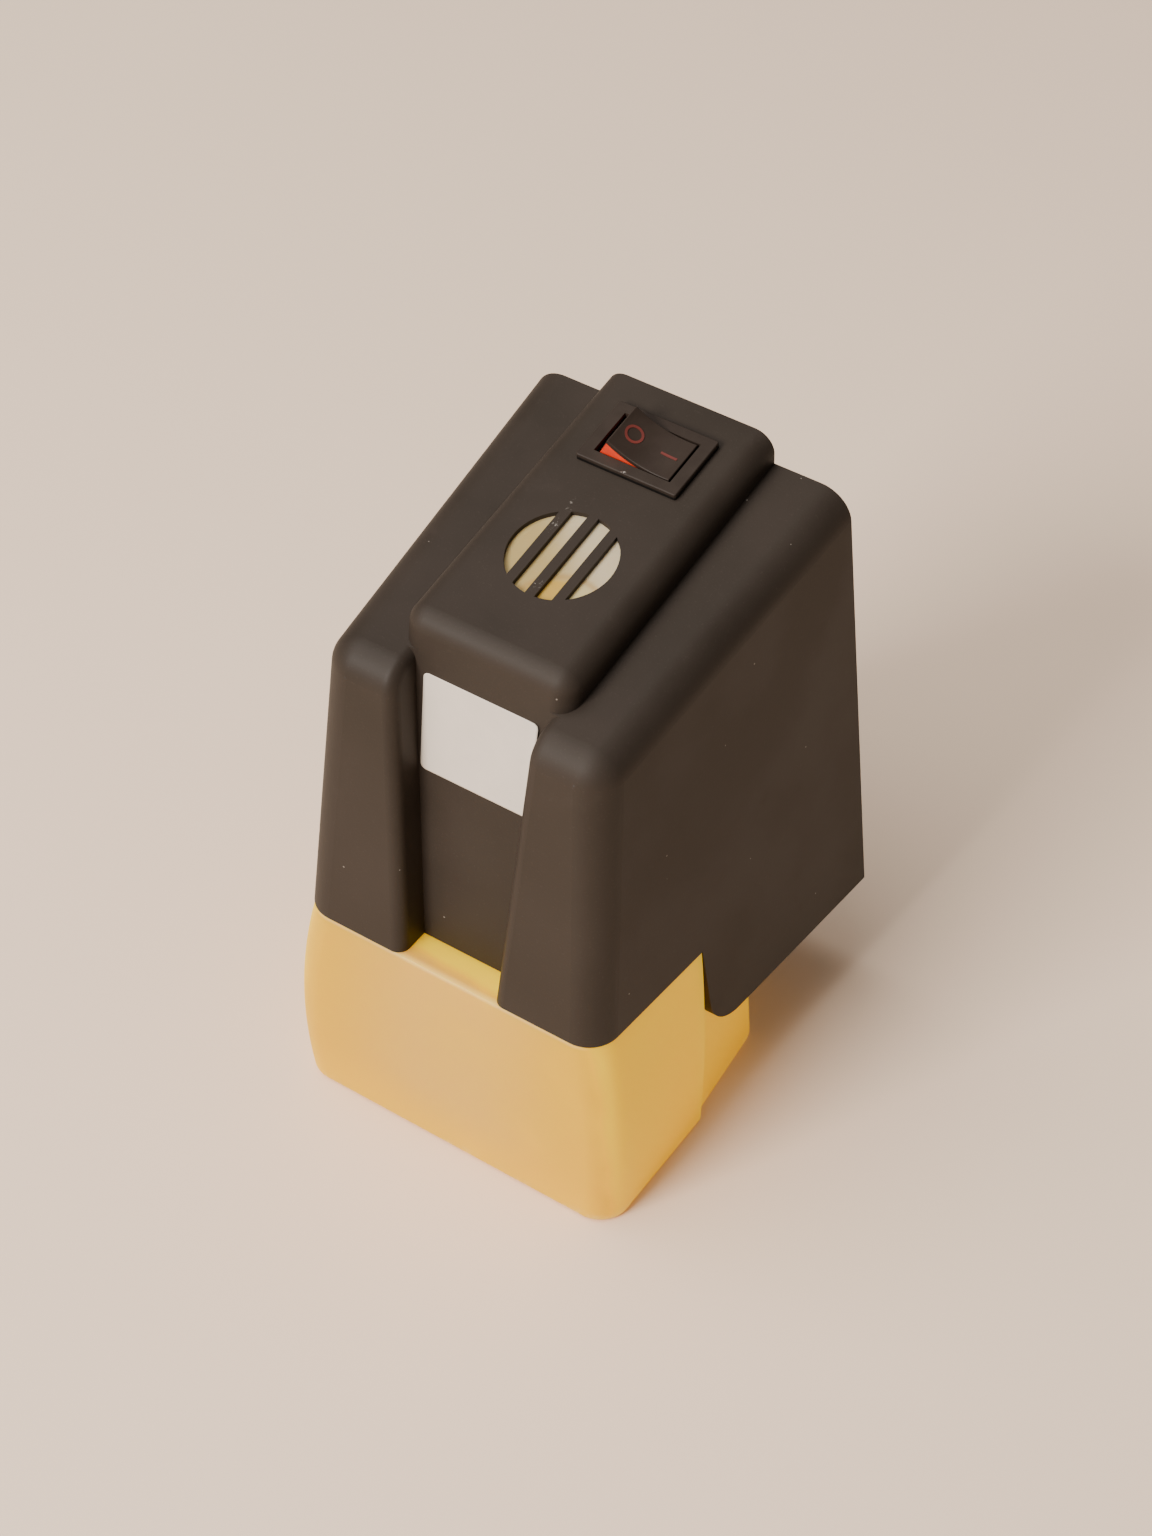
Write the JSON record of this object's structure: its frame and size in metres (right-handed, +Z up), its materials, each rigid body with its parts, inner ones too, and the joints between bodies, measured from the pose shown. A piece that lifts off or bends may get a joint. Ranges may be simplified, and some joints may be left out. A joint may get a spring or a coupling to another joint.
{
  "type": "circuit breaker finder",
  "caption": "Hooded hand receiver with raised ridge, rocker switch, slotted round grille and front channel, standing on a frosted translucent base.",
  "frame": {"origin": "middle of the footprint box, on the surface it stands on", "axes": "+Z up, +X to its right, +Y to the back; the channel and label face -Y"},
  "size_m": [0.0824, 0.0884, 0.1373],
  "materials": {
    "hood_plastic": "fine satin texture, moulded",
    "base_plastic": "frosted translucent",
    "switch_plastic": "moulded",
    "rocker_red": "moulded",
    "rocker_black": "moulded",
    "mark_red": "printed",
    "contact_brass": "stamped",
    "diffuser_plastic": "frosted",
    "holder_plastic": "moulded",
    "sounder_plastic": "moulded",
    "label_paper": "blank",
    "board_laminate": "laminate",
    "chip_plastic": "moulded",
    "capacitor_sleeve": "sleeved",
    "lamp_plastic": "clear tinted",
    "screw_steel": "zinc plated",
    "ferrite": "ground",
    "winding_copper": "enamelled wire",
    "battery_jacket": "plain jacket",
    "snap_plastic": "moulded"
  },
  "bodies": {
    "housing": {"hood": "hood_plastic", "base_housing": "base_plastic", "back_cover": "hood_plastic", "cover_screws": "screw_steel", "battery": "battery_jacket", "battery_snap": "snap_plastic", "switch_housing": "switch_plastic", "switch_terminals": "contact_brass", "grille_diffuser": "diffuser_plastic", "sounder_holder": "holder_plastic", "sounder_case": "sounder_plastic", "sounder_disc": "contact_brass", "label": "label_paper", "circuit_board": "board_laminate", "board_screws": "screw_steel", "board_guides": "base_plastic", "indicator_leds": "lamp_plastic", "controller_chip": "chip_plastic", "capacitors": "capacitor_sleeve", "ferrite_rod": "ferrite", "pickup_coil": "winding_copper", "coil_cradles": "base_plastic"},
    "rocker": {"rocker_core": "rocker_red", "rocker_cap": "rocker_black", "rocker_marks": "mark_red"},
    "contact": {"contact_lever": "contact_brass"},
    "door": {"battery_door": "hood_plastic"}
  },
  "joints": [
    {"name": "rocker_tilt", "type": "hinge", "parent": "housing", "child": "rocker", "pos_m": [0, 0.02383, 0.13035], "axis": [0, 0.9866, 0.1633], "range_deg": [-32, 0]},
    {"name": "contact_tilt", "type": "hinge", "parent": "housing", "child": "contact", "pos_m": [0, 0.02517, 0.12226], "axis": [0, 0.9866, 0.1633], "range_deg": [0, 16]},
    {"name": "door_slide", "type": "slide", "parent": "housing", "child": "door", "axis": [0, 0.0576, -0.9983], "range_m": [0, 0.024]}
  ],
  "couplings": [
    {"joint": "contact_tilt", "follows": "rocker_tilt", "ratio": -0.5}
  ]
}
